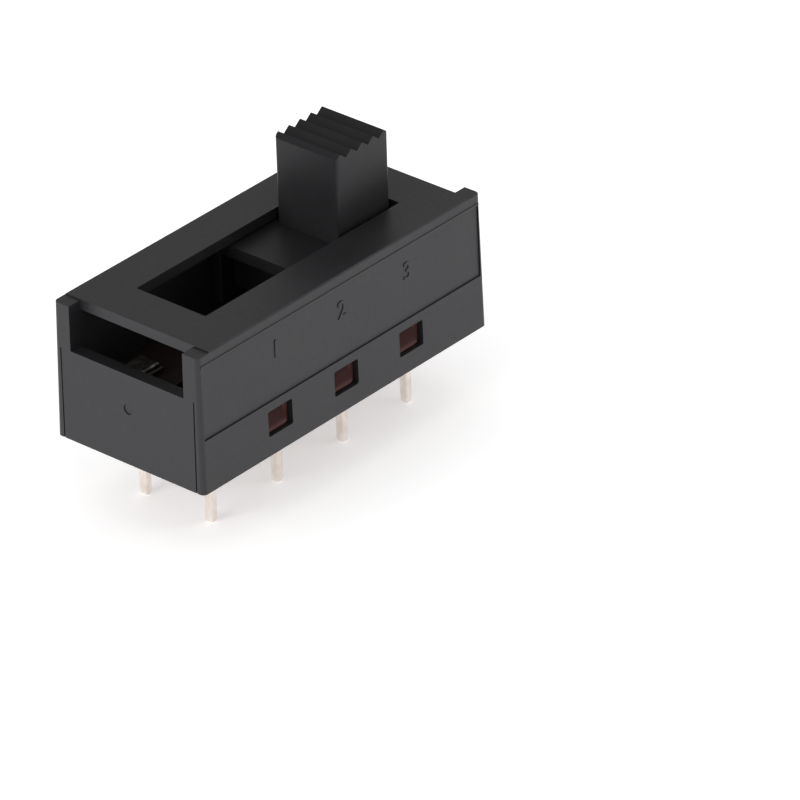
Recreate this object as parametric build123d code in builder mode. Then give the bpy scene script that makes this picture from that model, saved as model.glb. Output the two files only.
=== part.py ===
from build123d import *
import os

os.makedirs("parts", exist_ok=True)

# Millimetres. Z = 0 is the open rim of the housing, the pins point down,
# X runs along the slot and the front side faces -Y. The slider is at its +X stop.
pin_pitch = 7.62
row_y = 3.36
columns = [-1.5 * pin_pitch, -0.5 * pin_pitch, 0.5 * pin_pitch, 1.5 * pin_pitch]
positions = [-pin_pitch, 0, pin_pitch]
stops = [-7.5, 0, 7.5]
knob_x = stops[2]

body_length = 33.0
body_width = 15.0
body_height = 11.8
top_length = 32.68
top_width = 14.58
corner_radius = 0.4
edge_bevel = 0.12

plate_thickness = 0.9
plate_half_length = 15.05
window_sill = 7.85
chamber_length = 30.6
chamber_width = 11.5
ledge_height = 4.5
rebate_length = 30.8
rebate_width = 13.8
slot_length = 22.4
slot_width = 7.0
latch_width = 2.75
latch_bottom = 1.65
latch_top = 3.8
notch_radius = 0.85
notch_y = 5.3

base_length = 30.7
base_width = 13.3
base_top = 4.4
pocket_y = 4.25

pin_tip = -6.1
pin_thickness = 0.5
pin_width = 0.65
shoulder_end = -2.1
pad_thickness = 0.4
pad_angle = -17
head_top = 4.9
contact_top = 5.3

bridge_bottom = 5.75
bridge_thickness = 0.5
contact_gap = 0.03

knob_length = 6.05
knob_width = 6.3
knob_top = 18.52
tooth_pitch = 1.28
tooth_depth = 0.49
skirt_length = 16.2
skirt_width = 11.2
skirt_top = 10.75
skirt_bottom = 9.75
block_length = 11.0
block_bottom = 5.5
spring_roof = 9.5


# Housing: a tapering shell, open below, with a slot on top and a window at each end.
with BuildPart() as housing:
    with BuildSketch():
        RectangleRounded(body_length, body_width, corner_radius)
    with BuildSketch(Plane.XY.offset(body_height - edge_bevel)):
        RectangleRounded(top_length, top_width, corner_radius)
    loft()
    with BuildSketch(Plane.XY.offset(body_height - edge_bevel)):
        RectangleRounded(top_length, top_width, corner_radius)
    with BuildSketch(Plane.XY.offset(body_height)):
        RectangleRounded(top_length - 0.2, top_width - 0.2, corner_radius)
    loft()

    # Chamber for the slider, and the wider rebate that takes the terminal base.
    with BuildSketch(Plane.XY):
        Rectangle(rebate_length, rebate_width)
    extrude(amount=ledge_height, mode=Mode.SUBTRACT)
    with BuildSketch(Plane.XY.offset(ledge_height)):
        Rectangle(chamber_length, chamber_width)
    extrude(amount=body_height - plate_thickness - ledge_height, mode=Mode.SUBTRACT)

    # Between the side walls the top plate stops short and the end walls stop at the sill.
    with BuildSketch(Plane.XY.offset(window_sill)):
        with Locations((-plate_half_length - 2, 0), (plate_half_length + 2, 0)):
            Rectangle(4, chamber_width)
    extrude(amount=body_height - window_sill, mode=Mode.SUBTRACT)

    # Beyond the plate the tops of the side walls are a hair lower.
    with BuildSketch(Plane.XY.offset(body_height)):
        with Locations((-plate_half_length - 2, 0), (plate_half_length + 2, 0)):
            Rectangle(4, body_width)
    extrude(amount=-0.1, mode=Mode.SUBTRACT)

    # Slot for the knob.
    with BuildSketch(Plane.XY.offset(body_height)):
        RectangleRounded(slot_length, slot_width, 0.15)
    extrude(amount=-plate_thickness - 0.1, mode=Mode.SUBTRACT)

    # Latch windows, three to a side.
    with BuildSketch(Plane.XZ.offset(-body_width)):
        with Locations(*[(x, (latch_bottom + latch_top) / 2) for x in positions]):
            RectangleRounded(latch_width, latch_top - latch_bottom, 0.15)
    extrude(amount=2 * body_width, mode=Mode.SUBTRACT)

    # Grooves in the side walls where the detent springs rest.
    with BuildSketch(Plane.XY.offset(ledge_height)):
        with Locations(*[(x, y) for x in stops for y in (-notch_y, notch_y)]):
            Circle(notch_radius)
    extrude(amount=body_height - plate_thickness - ledge_height, mode=Mode.SUBTRACT)

    # The front carries a shallow panel above its lower band.
    side_lean = (body_width - top_width) / 2
    front = Plane(
        origin=(0, -body_width / 2, 0), x_dir=(1, 0, 0), z_dir=(0, -body_height, side_lean)
    )
    with BuildSketch(front):
        with Locations((0, 7.65)):
            Rectangle(32.1, 6.2)
    extrude(amount=-0.12, mode=Mode.SUBTRACT)

    # Both end walls have a mould line near each side, the left one a gate mark.
    end_lean = (body_length - top_length) / 2
    for side in (-1, 1):
        end = Plane(
            origin=(side * body_length / 2, 0, 0),
            x_dir=(0, side, 0),
            z_dir=(side * body_height, 0, end_lean),
        )
        with BuildSketch(end):
            with Locations((-6.75, window_sill / 2), (6.75, window_sill / 2)):
                Rectangle(0.12, window_sill)
            if side == -1:
                with Locations((0, 4.85)):
                    Circle(0.45)
        extrude(amount=-0.08, mode=Mode.SUBTRACT)
housing.part.label = "housing"


# Terminal base: a thick plate with latch wedges, cored from below.
with BuildPart() as terminal_base:
    with BuildSketch():
        Rectangle(base_length, base_width)
        with Locations(*[(x, 0) for x in positions]):
            Rectangle(4.2, 13.7)
        with Locations((base_length / 2, 0.3)):
            Rectangle(0.9, 4.2, mode=Mode.SUBTRACT)
    extrude(amount=base_top)

    # Wedges that snap into the latch windows, flat below and sloping in above.
    for x in positions:
        for side in (-1, 1):
            with BuildSketch(Plane.YZ.offset(x - 1.3)):
                with BuildLine():
                    Polyline(
                        (side * 6.6, 1.75),
                        (side * 7.1, 1.75),
                        (side * 7.35, 2.1),
                        (side * 6.85, 3.55),
                        (side * 6.6, 3.55),
                        close=True,
                    )
                make_face()
            extrude(amount=2.05)

    # Round pockets between the pins, each with a deeper left half.
    for x in positions:
        for y in (-pocket_y, pocket_y):
            with BuildSketch():
                with Locations((x, y)):
                    Circle(1.53)
            extrude(amount=0.9, mode=Mode.SUBTRACT)
            with BuildSketch(Plane.XY.offset(0.9)):
                with Locations((x, y)):
                    Circle(1.53)
                    with Locations((1.53, 0)):
                        Rectangle(3.06, 3.2, mode=Mode.SUBTRACT)
            extrude(amount=1.9, mode=Mode.SUBTRACT)

    # Stepped round pockets along the middle.
    with BuildSketch():
        with Locations(*[(x, 0.1) for x in columns]):
            Circle(1.55)
    extrude(amount=0.8, mode=Mode.SUBTRACT)
    with BuildSketch(Plane.XY.offset(0.8)):
        with Locations(*[(x, 0.1) for x in columns]):
            Circle(0.62)
    extrude(amount=2.2, mode=Mode.SUBTRACT)

    # Slots for the terminal stems, longer than the stems.
    with BuildSketch():
        with Locations(*[(x - 0.3, y) for x in columns for y in (-row_y, row_y)]):
            Rectangle(2.7, 0.6)
    extrude(amount=base_top, mode=Mode.SUBTRACT)

    # Barrier between the two rows of contacts.
    with BuildSketch(Plane.XY.offset(base_top)):
        Rectangle(27.0, 1.6)
    extrude(amount=0.8)
terminal_base.part.label = "terminal_base"


# Terminals: pin, funnel shoulder, pad under the base, stem through it and head on top.
terminals = []
for number in range(1, 9):
    x = columns[(number - 1) // 2]
    y = row_y if number % 2 else -row_y
    turned = Location((x, y), pad_angle)
    with BuildPart() as terminal:
        # Pin with a tapered tip.
        with BuildSketch(Plane.XY.offset(pin_tip)):
            with Locations((x, y)):
                Rectangle(0.22, 0.3)
        with BuildSketch(Plane.XY.offset(pin_tip + 0.5)):
            with Locations((x, y)):
                Rectangle(pin_thickness, pin_width)
        loft()
        extrude(terminal.faces().sort_by(Axis.Z)[-1], amount=-pin_tip - 0.5)

        # Shoulder that widens from the pin's seat to the pad.
        with BuildSketch(Plane.XY.offset(shoulder_end)) as seat:
            with Locations(turned):
                Rectangle(0.8, 0.95)
            chamfer(seat.vertices(), 0.2)
        with BuildSketch(Plane.XY.offset(-1.1)) as waist:
            with Locations(turned):
                Rectangle(1.5, 1.6)
            chamfer(waist.vertices(), 0.4)
        with BuildSketch(Plane.XY.offset(-pad_thickness)) as foot:
            with Locations(turned):
                Rectangle(2.6, 2.5)
            chamfer(foot.vertices(), 0.6)
        loft(ruled=True)
        with BuildSketch(Plane.XY.offset(-pad_thickness)) as pad:
            with Locations(turned):
                Rectangle(2.85, 2.75)
            chamfer(pad.vertices(), 0.35)
        extrude(amount=pad_thickness)

        # Stem through the base and head on top of it.
        with BuildSketch():
            with Locations((x, y)):
                Rectangle(2.0, 0.5)
        extrude(amount=base_top)
        with BuildSketch(Plane.XY.offset(base_top)) as head:
            with Locations((x, y)):
                Rectangle(3.2, 2.4)
            chamfer(head.vertices(), 0.3)
        extrude(amount=head_top - base_top)
    terminal.part.label = f"terminal_{number}"
    terminals.append(terminal.part)

    # Fixed contact on the head of the terminal.
    with BuildPart() as contact:
        with BuildSketch(Plane.XY.offset(head_top)):
            with Locations((x, y)):
                Rectangle(2.4, 1.9)
        extrude(amount=contact_top - head_top)
        chamfer(contact.edges().group_by(Axis.Z)[-1], length=0.12)
    contact.part.label = f"contact_{number}"
    terminals.append(contact.part)


# Slider: serrated knob, skirt under the plate and block with the contact pockets.
with BuildPart() as slider:
    with BuildSketch(Plane.XY.offset(skirt_bottom)):
        with Locations((knob_x, 0)):
            RectangleRounded(knob_length, knob_width, 0.3)
    extrude(amount=knob_top - skirt_bottom)

    # Grooves across the knob leave five teeth and a bevel at each end.
    with BuildSketch(Plane.XZ.offset(-knob_width)):
        for step in range(-2, 4):
            valley = knob_x + (step - 0.5) * tooth_pitch
            with BuildLine():
                Polyline(
                    (valley, knob_top - tooth_depth),
                    (valley + tooth_pitch / 2, knob_top),
                    (valley, knob_top + tooth_depth),
                    (valley - tooth_pitch / 2, knob_top),
                    close=True,
                )
            make_face()
    extrude(amount=2 * knob_width, mode=Mode.SUBTRACT)

    with BuildSketch(Plane.XY.offset(skirt_bottom)):
        with Locations((knob_x, 0)):
            Rectangle(skirt_length, skirt_width)
    extrude(amount=skirt_top - skirt_bottom)
    with BuildSketch(Plane.XY.offset(block_bottom)):
        with Locations((knob_x, 0)):
            Rectangle(block_length, skirt_width)
    extrude(amount=skirt_bottom - block_bottom)

    # Pockets for the bridges and bores for their springs.
    with BuildSketch(Plane.XY.offset(block_bottom)):
        with Locations((knob_x, -row_y), (knob_x, row_y)):
            Rectangle(10.1, 2.3)
    extrude(amount=1.5, mode=Mode.SUBTRACT)
    with BuildSketch(Plane.XY.offset(block_bottom)):
        with Locations((knob_x, -row_y), (knob_x, row_y)):
            Circle(1.35)
    extrude(amount=spring_roof - block_bottom, mode=Mode.SUBTRACT)

    # Seats for the detent springs in both flanks.
    with BuildSketch(Plane.XY.offset(7.4)):
        with Locations((knob_x, -5.5), (knob_x, 5.5)):
            Rectangle(9.4, 1.1)
    extrude(amount=1.8, mode=Mode.SUBTRACT)
slider.part.label = "slider"


# Moving contacts: a bridge for each row, a rounded contact at both its ends,
# a coil spring behind it and a detent leaf beside it.
moving = []
count = 0
for row, side in (("front", -1), ("rear", 1)):
    y = side * row_y
    with BuildPart() as bridge:
        with BuildSketch(Plane.XY.offset(bridge_bottom)):
            with Locations((knob_x, y)):
                Rectangle(9.8, 2.0)
        extrude(amount=bridge_thickness)
        with BuildSketch(Plane.XY.offset(bridge_bottom + bridge_thickness)):
            with Locations((knob_x, y)):
                Circle(0.6)
        extrude(amount=0.5)
    bridge.part.label = f"bridge_{row}"
    moving.append(bridge.part)

    for x in (knob_x - pin_pitch / 2, knob_x + pin_pitch / 2):
        count += 1
        with BuildPart() as moving_contact:
            with BuildSketch(Plane.XZ.offset(-y)):
                with BuildLine():
                    Polyline(
                        (x - 0.9, contact_top + 0.25),
                        (x - 0.9, bridge_bottom),
                        (x + 0.9, bridge_bottom),
                        (x + 0.9, contact_top + 0.25),
                    )
                    ThreePointArc(
                        (x + 0.9, contact_top + 0.25),
                        (x, contact_top + contact_gap),
                        (x - 0.9, contact_top + 0.25),
                    )
                make_face()
            extrude(amount=0.85, both=True)
        moving_contact.part.label = f"moving_contact_{count}"
        moving.append(moving_contact.part)

    with BuildPart() as bridge_spring:
        coil_bottom = bridge_bottom + bridge_thickness + 0.18
        with BuildLine() as coil:
            Helix(
                pitch=0.8,
                height=spring_roof - 0.18 - coil_bottom,
                radius=1.0,
                center=(knob_x, y, coil_bottom),
            )
        with BuildSketch(Plane(coil.line @ 0, z_dir=coil.line % 0)):
            Rectangle(0.28, 0.28)
        sweep(is_frenet=True)
    bridge_spring.part.label = f"bridge_spring_{row}"
    moving.append(bridge_spring.part)

    with BuildPart() as detent_spring:
        with BuildSketch(Plane.XY.offset(7.45)):
            with BuildLine():
                Polyline(
                    (knob_x - 4.5, side * 5.12),
                    (knob_x - 0.95, side * 5.3),
                    (knob_x - 0.35, side * 5.85),
                    (knob_x + 0.35, side * 5.85),
                    (knob_x + 0.95, side * 5.3),
                    (knob_x + 4.5, side * 5.12),
                )
            trace(line_width=0.2)
        extrude(amount=1.7)
    detent_spring.part.label = f"detent_spring_{row}"
    moving.append(detent_spring.part)


for part in [housing.part, terminal_base.part, slider.part, *terminals, *moving]:
    export_step(part, f"parts/{part.label}.step")
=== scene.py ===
import math

import bmesh
import bpy
from mathutils import Matrix, Vector


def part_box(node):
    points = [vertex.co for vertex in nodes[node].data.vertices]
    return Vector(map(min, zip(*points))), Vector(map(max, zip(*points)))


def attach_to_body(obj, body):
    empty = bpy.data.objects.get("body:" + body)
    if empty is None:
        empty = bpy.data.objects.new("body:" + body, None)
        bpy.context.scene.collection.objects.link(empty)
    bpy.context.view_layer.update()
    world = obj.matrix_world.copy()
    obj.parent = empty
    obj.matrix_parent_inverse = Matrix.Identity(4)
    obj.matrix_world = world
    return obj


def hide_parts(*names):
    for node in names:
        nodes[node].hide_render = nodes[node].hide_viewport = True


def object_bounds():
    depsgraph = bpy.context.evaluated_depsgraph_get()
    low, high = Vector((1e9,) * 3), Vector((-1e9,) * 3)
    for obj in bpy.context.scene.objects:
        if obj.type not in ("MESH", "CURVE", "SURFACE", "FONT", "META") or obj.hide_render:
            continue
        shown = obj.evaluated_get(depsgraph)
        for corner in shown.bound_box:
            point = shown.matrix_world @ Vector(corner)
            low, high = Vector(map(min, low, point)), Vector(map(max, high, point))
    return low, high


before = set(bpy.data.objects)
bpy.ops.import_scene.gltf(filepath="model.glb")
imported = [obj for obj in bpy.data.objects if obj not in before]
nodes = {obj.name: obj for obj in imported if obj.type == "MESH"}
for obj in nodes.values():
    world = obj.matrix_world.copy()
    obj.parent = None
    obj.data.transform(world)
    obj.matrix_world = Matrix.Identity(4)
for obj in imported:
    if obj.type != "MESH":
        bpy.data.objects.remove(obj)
cad_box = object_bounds()
mm = 0.001


# Terminal base: a brown plate moulded from filled resin, so it shows pale fibre specks.
# It closes the housing from below and snaps in with wedges at the latch windows.
class Wire:
    """A socket of a material: sums on it add Math nodes, and node() adds any other node."""

    def __init__(self, tree, socket=None):
        self.tree = tree
        self.socket = socket

    def node(self, kind, settings=None, sockets=None, out=0):
        made = self.tree.nodes.new(kind)
        for name, value in (settings or {}).items():
            setattr(made, name, value)
        for name, value in (sockets or {}).items():
            if isinstance(value, Wire):
                value.into(made.inputs[name])
            else:
                made.inputs[name].default_value = value
        return Wire(self.tree, made.outputs[out])

    def into(self, socket):
        self.tree.links.new(self.socket, socket)

    def maths(self, operation, first, second):
        return self.node("ShaderNodeMath", {"operation": operation}, {0: first, 1: second})

    def along(self, axis):
        return self.node("ShaderNodeSeparateXYZ", {}, {0: self}, out=axis)

    def stretch(self, factors):
        return self.node("ShaderNodeVectorMath", {"operation": "MULTIPLY"}, {0: self, 1: factors})

    def between(self, low, high):
        """Rises from 0 at the low value to 1 at the high one."""
        return self.node(
            "ShaderNodeMapRange", {"clamp": True}, {"Value": self, "From Min": low, "From Max": high}
        )

    def mix(self, first, second):
        """Goes from the first colour at 0 to the second at 1; 6, 7 and 2 are the colour sockets."""
        return self.node(
            "ShaderNodeMix", {"data_type": "RGBA"}, {"Factor": self, 6: first, 7: second}, out=2
        )

    def bump(self, strength, depth):
        return self.node(
            "ShaderNodeBump", {}, {"Height": self, "Strength": strength, "Distance": depth}
        )

    def __add__(self, other):
        return self.maths("ADD", self, other)

    def __sub__(self, other):
        return self.maths("SUBTRACT", self, other)

    def __rsub__(self, other):
        return self.maths("SUBTRACT", other, self)

    def __mul__(self, other):
        return self.maths("MULTIPLY", self, other)

    __radd__ = __add__
    __rmul__ = __mul__


def new_finish(name):
    material = bpy.data.materials.new(name)
    material.use_nodes = True
    shader = material.node_tree.nodes["Principled BSDF"]
    place = Wire(material.node_tree).node("ShaderNodeTexCoord", out="Object")
    return material, shader, place


def noise(place, scale, detail=3):
    return place.node("ShaderNodeTexNoise", {}, {"Vector": place, "Scale": scale, "Detail": detail})


def paint(node, material):
    nodes[node].data.materials.clear()
    nodes[node].data.materials.append(material)


base_finish, shader, place = new_finish("brown_moulded_base")
cloud = noise(place, 240, 4).between(0.35, 0.7)
speck = noise(place, 5200, 2).between(0.68, 0.77) * 0.35
brown = cloud.mix((0.112, 0.042, 0.037, 1), (0.145, 0.064, 0.058, 1))
brown = speck.mix(brown, (0.30, 0.22, 0.20, 1))

# The wedges stand out sideways past the plate. From their foot up they are rougher, and their colour
# is darkened there as painted shade, since they sit back in the latch windows.
wedge_starts, wedge_full = 6.797 * mm, 6.899 * mm
aside = place.along("Y")
height = place.along("Z")
wedge_shade_and_dullness = (aside * aside).between(wedge_starts**2, wedge_full**2) * height.between(1.7 * mm, 2.4 * mm)
brown = wedge_shade_and_dullness.mix(brown, (0.030, 0.004, 0.0035, 1))

# From this level up the inside is painted dark as shade inside the housing, on base and terminals
# alike.
inside_shade_starts, inside_shade_full = 4.0 * mm, 4.3 * mm
inside_painted_shade = height.between(inside_shade_starts, inside_shade_full)
inside_painted_shade.mix(brown, (0.018, 0.010, 0.009, 1)).into(shader.inputs["Base Color"])
(noise(place, 1500) * 0.2 + wedge_shade_and_dullness * 0.35 + 0.34).into(shader.inputs["Roughness"])
noise(place, 4500, 4).bump(0.18, 0.04 * mm).into(shader.inputs["Normal"])
shader.inputs["Specular IOR Level"].default_value = 0.3
paint("terminal_base", base_finish)


def raise_text(mesh, words, height, relief, laid):
    """Adds words in relief to a mesh; the matrix lays them on their surface."""
    size_for_height = 1.4
    text = bpy.data.curves.new("relief", "FONT")
    text.body = words
    text.size = height * size_for_height
    text.align_x = "CENTER"
    text.align_y = "CENTER"
    text.extrude = relief
    text.bevel_depth = 0.02 * mm
    text.resolution_u = 4
    holder = bpy.data.objects.new("relief", text)
    shape = bpy.data.meshes.new_from_object(holder)
    shape.transform(laid)
    mesh.from_mesh(shape)
    bpy.data.objects.remove(holder)


def attach(mesh, name, material, body):
    """Turns a finished bmesh into a piece that rides on a body."""
    data = bpy.data.meshes.new(name)
    mesh.to_mesh(data)
    data.materials.append(material)
    piece = bpy.data.objects.new(name, data)
    bpy.context.scene.collection.objects.link(piece)
    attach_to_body(piece, body)


# Raised terminal numbers beside the pins, odd in the rear row and even in the front one.
pin_pitch = 7.62 * mm
row_distance = 6.72 * mm
rear_from_column = Vector((-1.1, 5.55, 0)) * mm
front_from_column = Vector((1.15, -5.65, 0)) * mm
face_down = Matrix.Rotation(math.pi, 4, "X")
terminal_numbers = bmesh.new()
for number in range(1, 9):
    column = Vector(((-1.5 + (number - 1) // 2) * pin_pitch, 0, 0))
    spot = column + (rear_from_column if number % 2 else front_from_column)
    laid = Matrix.Translation(spot) @ face_down
    raise_text(terminal_numbers, str(number), height=1.15 * mm, relief=0.10 * mm, laid=laid)
attach(terminal_numbers, "terminal_numbers", base_finish, "switch_body")


# Terminals: eight pins of plated strip, each pressed out to a funnel shoulder over a pad
# that stops against the base. The plating is dull and the sheared rims show yellow metal.
terminal_finish, shader, place = new_finish("dull_plated_terminal")
height = place.along("Z")
down = place.node("ShaderNodeTexCoord", out="Normal").along("Z")
upright = 1 - down * down
rim = upright.between(0.75, 0.98) * height.between(-0.46 * mm, -0.38 * mm)
rim = rim * (1 - height.between(0.0, 0.1 * mm))
stain = noise(place, 900, 4).between(0.4, 0.75)
silver = stain.mix((0.94, 0.87, 0.82, 1), (0.80, 0.72, 0.65, 1))
flux = height.between(-1.2 * mm, -0.4 * mm) * noise(place, 650, 4).between(0.38, 0.62) * 0.9
silver = flux.mix(silver, (0.50, 0.34, 0.17, 1))
plating = rim.mix(silver, (0.80, 0.52, 0.24, 1))
# From the same level up the terminal heads take the painted shade of the housing's inside.
inside_painted_shade = height.between(inside_shade_starts, inside_shade_full)
inside_painted_shade.mix(plating, (0.10, 0.085, 0.07, 1)).into(shader.inputs["Base Color"])
(noise(place, 1800) * 0.25 + 0.26).into(shader.inputs["Roughness"])
noise(place, 2600, 4).bump(0.25, 0.03 * mm).into(shader.inputs["Normal"])
shader.inputs["Metallic"].default_value = 0.9


def ring(mesh, half_x, half_y, corner, level, turn=0.0):
    """Adds a rounded rectangle of vertices round the Z axis; sizes in millimetres."""
    corner_steps = 5
    made = []
    for quarter, (side_x, side_y) in enumerate(((1, 1), (-1, 1), (-1, -1), (1, -1))):
        centre = Vector((side_x * (half_x - corner), side_y * (half_y - corner)))
        for step in range(corner_steps + 1):
            angle = math.pi / 2 * (quarter + step / corner_steps)
            spot = centre + corner * Vector((math.cos(angle), math.sin(angle)))
            spot.rotate(Matrix.Rotation(turn, 2))
            made.append(mesh.verts.new((spot.x * mm, spot.y * mm, level * mm)))
    return made


def skin(mesh, rings):
    """Joins rings, given from the bottom up, into one closed wall with a cap at each end."""
    for low, high in zip(rings, rings[1:]):
        for i in range(len(low)):
            j = (i + 1) % len(low)
            mesh.faces.new((low[i], low[j], high[j], high[i]))
    mesh.faces.new(list(reversed(rings[0])))
    mesh.faces.new(rings[-1])


def soften(mesh, degrees):
    """Shades a mesh smooth, with edges sharper than the angle kept crisp."""
    for face in mesh.faces:
        face.smooth = True
    for edge in mesh.edges:
        edge.smooth = edge.calc_face_angle(0) < math.radians(degrees)


# One terminal from the tip up, in millimetres: half length, half width, corner, level.
# The funnel and its pad are turned, while the pin, the stem and the head stand square.
pin = (
    (0.19, 0.26, 0.14, -6.10),
    (0.26, 0.335, 0.16, -6.05),
    (0.305, 0.38, 0.17, -5.92),
    (0.325, 0.40, 0.17, -5.75),
    (0.325, 0.40, 0.16, -2.32),
    (0.345, 0.42, 0.17, -2.20),
)
funnel_and_pad = (
    (0.38, 0.45, 0.16, -2.12),
    (0.42, 0.49, 0.18, -2.02),
    (0.48, 0.55, 0.22, -1.75),
    (0.57, 0.64, 0.26, -1.42),
    (0.70, 0.76, 0.32, -1.10),
    (0.90, 0.93, 0.38, -0.80),
    (1.12, 1.12, 0.40, -0.58),
    (1.32, 1.27, 0.36, -0.44),
    (1.38, 1.33, 0.32, -0.41),
    (1.42, 1.37, 0.30, -0.36),
    (1.42, 1.37, 0.30, -0.02),
)
stem_and_head = (
    (1.0, 0.25, 0.05, -0.01),
    (1.0, 0.25, 0.05, 4.40),
    (1.57, 1.17, 0.3, 4.40),
    (1.6, 1.2, 0.3, 4.45),
    (1.6, 1.2, 0.3, 4.85),
    (1.55, 1.15, 0.3, 4.90),
)
pad_turn = math.radians(-17)
form = bmesh.new()
walls = [ring(form, *sizes) for sizes in pin]
walls += [ring(form, *sizes, pad_turn) for sizes in funnel_and_pad]
walls += [ring(form, *sizes) for sizes in stem_and_head]
skin(form, walls)
soften(form, degrees=38)
form_mesh = bpy.data.meshes.new("terminal_form")
form.to_mesh(form_mesh)
form_object = bpy.data.objects.new("terminal_form", form_mesh)
bpy.context.scene.collection.objects.link(form_object)


class Tree:
    """A Geometry Nodes tree with named inputs; add() adds a node and joins its sockets."""

    def __init__(self, name, inputs):
        self.group = bpy.data.node_groups.new(name, "GeometryNodeTree")
        self.inputs = {}
        for label, kind in inputs.items():
            made = self.group.interface.new_socket(label, in_out="INPUT", socket_type=kind)
            self.inputs[label] = made.identifier
        self.group.interface.new_socket("Geometry", in_out="OUTPUT", socket_type="NodeSocketGeometry")
        self.entry = self.group.nodes.new("NodeGroupInput")

    def given(self, label):
        return self.entry.outputs[label]

    def add(self, kind, sockets, settings=None, out=0):
        made = self.group.nodes.new(kind)
        for name, value in (settings or {}).items():
            setattr(made, name, value)
        for name, value in sockets.items():
            if isinstance(value, bpy.types.NodeSocket):
                self.group.links.new(value, made.inputs[name])
            else:
                made.inputs[name].default_value = value
        return made.outputs[out]

    def maths(self, operation, first, second):
        return self.add("ShaderNodeMath", {0: first, 1: second}, {"operation": operation})

    def finish(self, geometry, material):
        real = self.add("GeometryNodeRealizeInstances", {0: geometry})
        coated = self.add("GeometryNodeSetMaterial", {0: real, "Material": material})
        end = self.group.nodes.new("NodeGroupOutput")
        self.group.links.new(coated, end.inputs[0])

    def grow(self, name, values):
        """Runs the tree with these values and returns the result as a plain mesh piece."""
        seed = bpy.data.objects.new(name, bpy.data.meshes.new(name))
        bpy.context.scene.collection.objects.link(seed)
        modifier = seed.modifiers.new("grow", "NODES")
        modifier.node_group = self.group
        for label, value in values.items():
            modifier[self.inputs[label]] = value
        bpy.context.view_layer.update()
        ready = seed.evaluated_get(bpy.context.evaluated_depsgraph_get())
        mesh = bpy.data.meshes.new_from_object(ready)
        seed.modifiers.remove(modifier)
        seed.data = mesh
        return seed


pins = Tree(
    "rows_of_terminals",
    {
        "Form": "NodeSocketObject",
        "Pitch": "NodeSocketFloat",
        "Row Distance": "NodeSocketFloat",
        "Columns": "NodeSocketInt",
        "Metal": "NodeSocketMaterial",
    },
)
gaps = pins.maths("SUBTRACT", pins.given("Columns"), 1.0)
length = pins.maths("MULTIPLY", gaps, pins.given("Pitch"))
grid = pins.add(
    "GeometryNodeMeshGrid",
    {
        "Size X": length,
        "Size Y": pins.given("Row Distance"),
        "Vertices X": pins.given("Columns"),
        "Vertices Y": 2,
    },
)
model = pins.add("GeometryNodeObjectInfo", {"Object": pins.given("Form")}, out="Geometry")
spread = pins.add("GeometryNodeInstanceOnPoints", {"Points": grid, "Instance": model})
pins.finish(spread, pins.given("Metal"))
terminals = pins.grow(
    "terminal_rows",
    {
        "Form": form_object,
        "Pitch": pin_pitch,
        "Row Distance": row_distance,
        "Columns": 4,
        "Metal": terminal_finish,
    },
)
bpy.data.objects.remove(form_object)
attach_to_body(terminals, "switch_body")
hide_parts(*[f"terminal_{number}" for number in range(1, 9)])


# Contacts: silver alloy pads, the fixed ones brazed on the terminal heads and the moving
# ones on the bridges. They are bright where they rub and grey beside.
contact_finish, shader, place = new_finish("rubbed_contact_silver")
rubbed = noise(place, 2200, 4).between(0.35, 0.65)
rubbed.mix((0.36, 0.34, 0.31, 1), (0.11, 0.10, 0.09, 1)).into(shader.inputs["Base Color"])
(rubbed * 0.22 + 0.26).into(shader.inputs["Roughness"])
scratches = noise(place.stretch((0.06, 1, 1)), 9000, 2)
scratches.bump(0.2, 0.02 * mm).into(shader.inputs["Normal"])
shader.inputs["Metallic"].default_value = 1
for number in range(1, 9):
    paint(f"contact_{number}", contact_finish)
for number in range(1, 5):
    paint(f"moving_contact_{number}", contact_finish)


# Housing: the black cover, moulded in one shot with a fine spark-eroded grain. Handling
# leaves it a little shinier in clouds, with scattered pale dust.
housing_finish, shader, place = new_finish("black_moulded_housing")
cloud = noise(place, 150, 5).between(0.3, 0.7)
dust = noise(place, 4200, 2).between(0.71, 0.79) * 0.25
black = cloud.mix((0.012, 0.012, 0.013, 1), (0.016, 0.016, 0.0175, 1))
dust.mix(black, (0.12, 0.115, 0.11, 1)).into(shader.inputs["Base Color"])
(cloud * 0.08 + noise(place, 2600) * 0.14 + 0.33).into(shader.inputs["Roughness"])
noise(place, 5200, 4).bump(0.16, 0.04 * mm).into(shader.inputs["Normal"])
shader.inputs["Specular IOR Level"].default_value = 0.5
shader.inputs["Specular Tint"].default_value = (0.97, 0.95, 1, 1)
paint("housing", housing_finish)

# A fine bead runs along the upper edge of the recessed front panel.
foot_width, top_width, cover_height = 15.0 * mm, 14.58 * mm, 11.8 * mm
wall_lean = (foot_width - top_width) / 2 / cover_height
bead_half_length = 16.05 * mm
bead_level = 10.86 * mm
bead_half_height = 0.11 * mm
bead_stands_out = 0.07 * mm
bead_root = 0.08 * mm
bead_steps = 8


def front_wall(level, inward):
    """The Y of a point so far inside the cover's front face, which leans back as it rises."""
    return -foot_width / 2 + wall_lean * level + inward


bead = bmesh.new()
bead_ends = []
for x in (-bead_half_length, bead_half_length):
    end = []
    for step in range(bead_steps + 1):
        angle = math.pi * (0.5 - step / bead_steps)
        z = bead_level + bead_half_height * math.sin(angle)
        end.append(bead.verts.new((x, front_wall(z, -bead_stands_out * math.cos(angle)), z)))
    for z in (bead_level - bead_half_height, bead_level + bead_half_height):
        end.append(bead.verts.new((x, front_wall(z, bead_root), z)))
    bead_ends.append(end)
skin(bead, bead_ends)
bmesh.ops.recalc_face_normals(bead, faces=bead.faces)
soften(bead, degrees=40)
attach(bead, "panel_bead", housing_finish, "switch_body")

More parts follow.
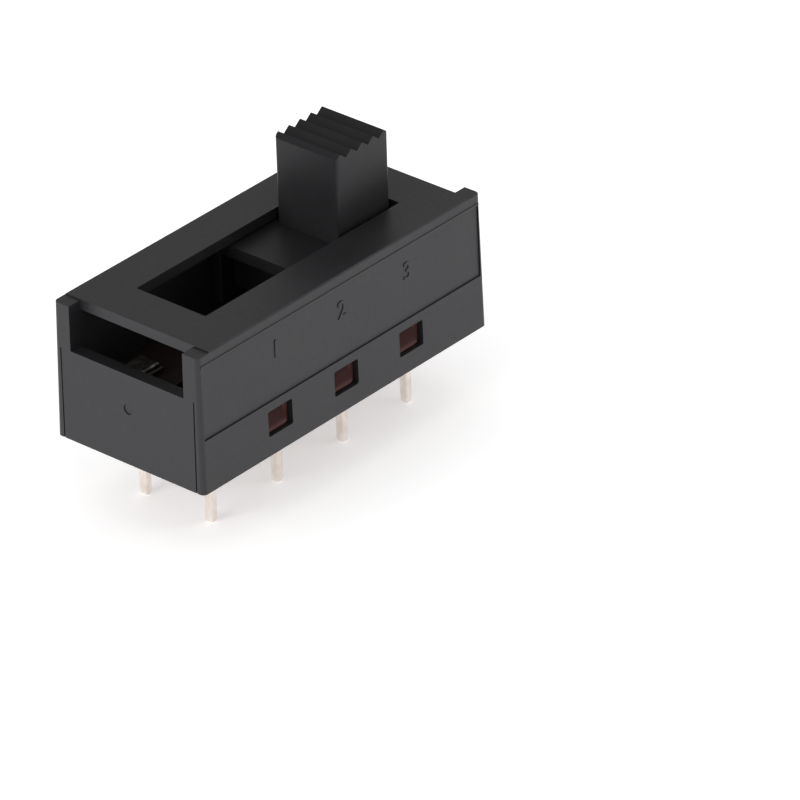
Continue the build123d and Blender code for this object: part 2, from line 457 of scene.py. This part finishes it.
# Plain position numbers in low relief on the front panel, one above each latch window.
number_level = 8.6 * mm
panel_depth = 0.12 * mm
upright_on_wall = Matrix.Rotation(math.pi / 2 - math.atan(wall_lean), 4, "X")
position_numbers = bmesh.new()
for number in range(1, 4):
    spot = Vector(((number - 2) * pin_pitch, front_wall(number_level, panel_depth), number_level))
    laid = Matrix.Translation(spot) @ upright_on_wall
    raise_text(position_numbers, str(number), height=1.5 * mm, relief=0.05 * mm, laid=laid)
attach(position_numbers, "position_numbers", housing_finish, "switch_body")


# Slider: the knob with its skirt and block, one black moulding in a slightly smoother
# plastic than the housing so that it runs easily.
slider_finish, shader, place = new_finish("black_moulded_slider")
cloud = noise(place, 200, 4).between(0.3, 0.7)
dust = noise(place, 3900, 2).between(0.72, 0.80) * 0.2
black = cloud.mix((0.010, 0.010, 0.011, 1), (0.0135, 0.0135, 0.0148, 1))
dust.mix(black, (0.11, 0.105, 0.10, 1)).into(shader.inputs["Base Color"])
(cloud * 0.08 + noise(place, 2600) * 0.12 + 0.31).into(shader.inputs["Roughness"])
noise(place, 4600, 3).bump(0.1, 0.04 * mm).into(shader.inputs["Normal"])
shader.inputs["Specular IOR Level"].default_value = 0.35
shader.inputs["Specular Tint"].default_value = (0.97, 0.95, 1, 1)
paint("slider", slider_finish)


# Bridges: two stamped brass strips that join neighbouring terminals, held in the slider's
# pockets and pressed down by their springs.
brass_finish, shader, place = new_finish("stamped_brass_bridge")
tarnish = noise(place, 700, 4).between(0.35, 0.75)
tarnish.mix((0.80, 0.60, 0.30, 1), (0.52, 0.36, 0.20, 1)).into(shader.inputs["Base Color"])
(tarnish * 0.2 + 0.26).into(shader.inputs["Roughness"])
rolling_lines = noise(place.stretch((0.05, 1, 1)), 8000, 2)
rolling_lines.bump(0.2, 0.02 * mm).into(shader.inputs["Normal"])
shader.inputs["Metallic"].default_value = 1
paint("bridge_front", brass_finish)
paint("bridge_rear", brass_finish)


# Springs: two coils of round music wire behind the bridges, and two bent steel leaves in
# the slider's flanks that click into the grooves of the housing.
steel_finish, shader, place = new_finish("drawn_spring_steel")
drawn = noise(place, 1200, 3).between(0.3, 0.7)
drawn.mix((0.66, 0.66, 0.68, 1), (0.50, 0.50, 0.52, 1)).into(shader.inputs["Base Color"])
(drawn * 0.14 + 0.24).into(shader.inputs["Roughness"])
shader.inputs["Metallic"].default_value = 1
paint("detent_spring_front", steel_finish)
paint("detent_spring_rear", steel_finish)

spring_low, spring_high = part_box("bridge_spring_front")
wire_radius = 0.14 * mm
coil_radius = 0.99 * mm
coil_turns = 3.7
knob_at_rest = 7.5 * mm
coils = Tree(
    "bridge_coil_springs",
    {
        "Coil Radius": "NodeSocketFloat",
        "Wire Radius": "NodeSocketFloat",
        "Height": "NodeSocketFloat",
        "Turns": "NodeSocketFloat",
        "Row Distance": "NodeSocketFloat",
        "Steel": "NodeSocketMaterial",
    },
)
spiral = coils.add(
    "GeometryNodeCurveSpiral",
    {
        "Resolution": 32,
        "Rotations": coils.given("Turns"),
        "Start Radius": coils.given("Coil Radius"),
        "End Radius": coils.given("Coil Radius"),
        "Height": coils.given("Height"),
    },
)
section = coils.add(
    "GeometryNodeCurvePrimitiveCircle",
    {"Resolution": 12, "Radius": coils.given("Wire Radius")},
)
coil = coils.add(
    "GeometryNodeCurveToMesh", {"Curve": spiral, "Profile Curve": section, "Fill Caps": True}
)
rear_y = coils.maths("MULTIPLY", coils.given("Row Distance"), 0.5)
front_y = coils.maths("MULTIPLY", rear_y, -1.0)
front = coils.add("ShaderNodeCombineXYZ", {"Y": front_y})
rear = coils.add("ShaderNodeCombineXYZ", {"Y": rear_y})
ends = coils.add(
    "GeometryNodeMeshLine",
    {"Count": 2, "Start Location": front, "Offset": rear},
    {"mode": "END_POINTS"},
)
pair = coils.add("GeometryNodeInstanceOnPoints", {"Points": ends, "Instance": coil})
coils.finish(pair, coils.given("Steel"))
springs = coils.grow(
    "bridge_coils",
    {
        "Coil Radius": coil_radius,
        "Wire Radius": wire_radius,
        "Height": spring_high.z - spring_low.z - 2 * wire_radius,
        "Turns": coil_turns,
        "Row Distance": row_distance,
        "Steel": steel_finish,
    },
)
springs.data.transform(Matrix.Translation((knob_at_rest, 0, spring_low.z + wire_radius)))
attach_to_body(springs, "sliding_knob")
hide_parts("bridge_spring_front", "bridge_spring_rear")


# Floor: a plain pale sheet under the pin tips, white where the camera and the glossy
# surfaces see it, with the soft shadow of the switch kept.
floor_half = 3.0
floor_glow = 0.36
floor_level = cad_box[0].z
floor_corners = [
    (x * floor_half, y * floor_half, floor_level) for x, y in ((-1, -1), (1, -1), (1, 1), (-1, 1))
]
floor_mesh = bpy.data.meshes.new("floor")
floor_mesh.from_pydata(floor_corners, [], [(0, 1, 2, 3)])
floor = bpy.data.objects.new("floor", floor_mesh)
bpy.context.scene.collection.objects.link(floor)
floor_finish, shader, place = new_finish("pale_floor")
shader.inputs["Base Color"].default_value = (0.93, 0.93, 0.93, 1)
shader.inputs["Roughness"].default_value = 0.9
shader.inputs["Specular IOR Level"].default_value = 0.0
seen = place.node("ShaderNodeLightPath", out="Is Camera Ray")
glossy = place.node("ShaderNodeLightPath", out="Is Glossy Ray")
through = place.node("ShaderNodeLightPath", out="Is Transmission Ray")
lift = place.maths("MAXIMUM", place.maths("MAXIMUM", seen, glossy), through) * floor_glow
shader.inputs["Emission Color"].default_value = (1, 1, 1, 1)
lift.into(shader.inputs["Emission Strength"])
floor_mesh.materials.append(floor_finish)

# Studio: a white surround that glossy faces see dimmer overhead, so that tops stay dark,
# with a large soft key from the left and a weak fill from the right.
ambient_level = 0.75
overhead_dimming = 0.66
world = bpy.data.worlds.new("studio")
world.use_nodes = True
bpy.context.scene.world = world
sky = Wire(world.node_tree)
back = world.node_tree.nodes["Background"]
back.inputs["Color"].default_value = (1, 1, 1, 1)
camera_ray = sky.node("ShaderNodeLightPath", out="Is Camera Ray")
glossy_ray = sky.node("ShaderNodeLightPath", out="Is Glossy Ray")
clear_ray = sky.node("ShaderNodeLightPath", out="Is Transmission Ray")
overhead = sky.node("ShaderNodeTexCoord", out="Generated").along("Z").between(0.05, 0.45)
shown = sky.maths("MAXIMUM", camera_ray, clear_ray)
mirrored = glossy_ray * (1 - overhead * overhead_dimming)
ambient = (1 - shown - glossy_ray) * ambient_level
(shown + mirrored + ambient).into(back.inputs["Strength"])


def softbox(name, spot, size, power):
    lamp = bpy.data.lights.new(name, "AREA")
    lamp.size = size
    lamp.energy = power
    towards_switch = Vector((0, 0, 6 * mm)) - Vector(spot)
    holder = bpy.data.objects.new(name, lamp)
    holder.location = spot
    holder.rotation_euler = towards_switch.to_track_quat("-Z", "Y").to_euler()
    bpy.context.scene.collection.objects.link(holder)


softbox("key", spot=(-0.60, 0.10, 0.24), size=0.4, power=1.5)
softbox("fill", spot=(0.20, -0.24, 0.12), size=0.16, power=0.12)

# Camera: a long lens at the photograph's height and angle, with its small shifts of the
# frame, so that the switch lies in the picture as it does in the photograph.
lens = bpy.data.cameras.new("camera")
lens.sensor_width = 36
lens.lens = 325.45
lens.shift_x = 0.0016
lens.shift_y = -0.0004
lens.clip_start = 0.01
camera = bpy.data.objects.new("camera", lens)
camera.location = (-0.35539, -0.32626, 0.27963)
camera.rotation_euler = (math.radians(59.68885), math.radians(1.52497), math.radians(-49.46815))
bpy.context.scene.collection.objects.link(camera)
bpy.context.scene.camera = camera
bpy.context.scene.view_settings.view_transform = "Standard"
